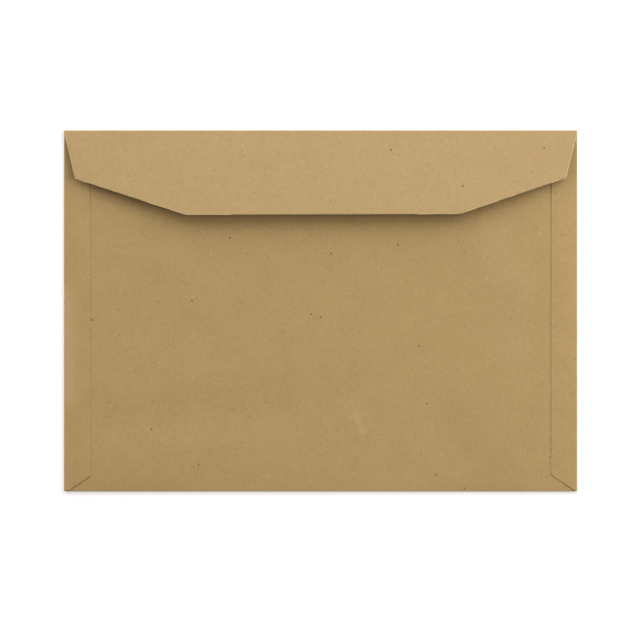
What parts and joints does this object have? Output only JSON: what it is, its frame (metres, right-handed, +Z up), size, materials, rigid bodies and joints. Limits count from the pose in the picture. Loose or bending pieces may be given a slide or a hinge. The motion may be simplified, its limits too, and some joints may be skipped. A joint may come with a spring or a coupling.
{
  "type": "paper envelope",
  "caption": "Flat mailing envelope folded and glued from one sheet of recycled kraft paper, with outside side seams and an unstuck closing flap that springs up a little.",
  "frame": {"origin": "middle of the address panel's outer face, which the envelope lies on", "axes": "+X along the closing flap's fold, +Y from the bottom fold towards the closing flap's fold, +Z up out of the back, flap side"},
  "size_m": [0.25, 0.176, 0.0046],
  "materials": {
    "kraft_paper": "matte, flecked"
  },
  "bodies": {
    "root": {"envelope": "kraft_paper"}
  },
  "joints": []
}
